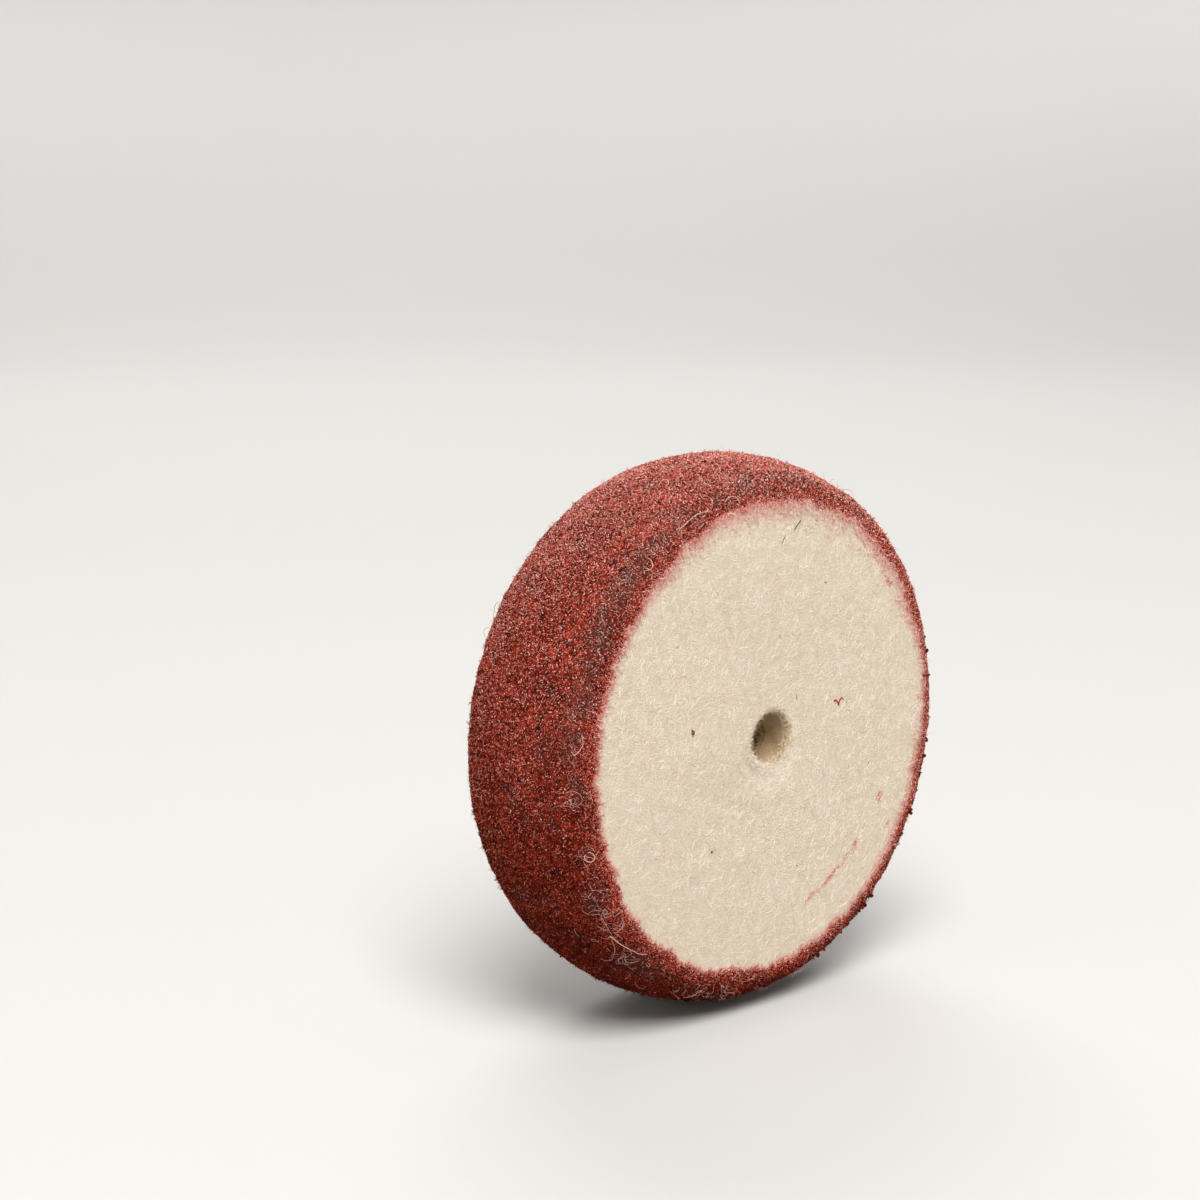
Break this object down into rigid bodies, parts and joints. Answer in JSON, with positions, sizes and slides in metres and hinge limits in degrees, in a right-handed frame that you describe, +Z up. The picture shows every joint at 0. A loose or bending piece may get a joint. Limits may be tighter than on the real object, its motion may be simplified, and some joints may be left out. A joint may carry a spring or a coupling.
{
  "type": "felt polishing wheel",
  "caption": "Pressed wool felt polishing wheel with two flat faces, rounded shoulders, a barrelled rim charged with red compound and a plain arbor hole through its centre.",
  "frame": {"origin": "middle of the wheel: on the axis of the arbor hole, halfway between the two faces", "axes": "+Y along the arbor hole from the front face to the rear face, so the front face looks towards -Y; +Z up as the wheel stands on its rim; +X to the right seen from the front"},
  "size_m": [0.1, 0.03, 0.1],
  "materials": {
    "cream_felt": "matt, fine wool nap",
    "red_compound": "matt, coarse nap caked with red compound"
  },
  "bodies": {
    "root": {"felt_body": "cream_felt", "rim_coat": "red_compound"}
  },
  "joints": []
}
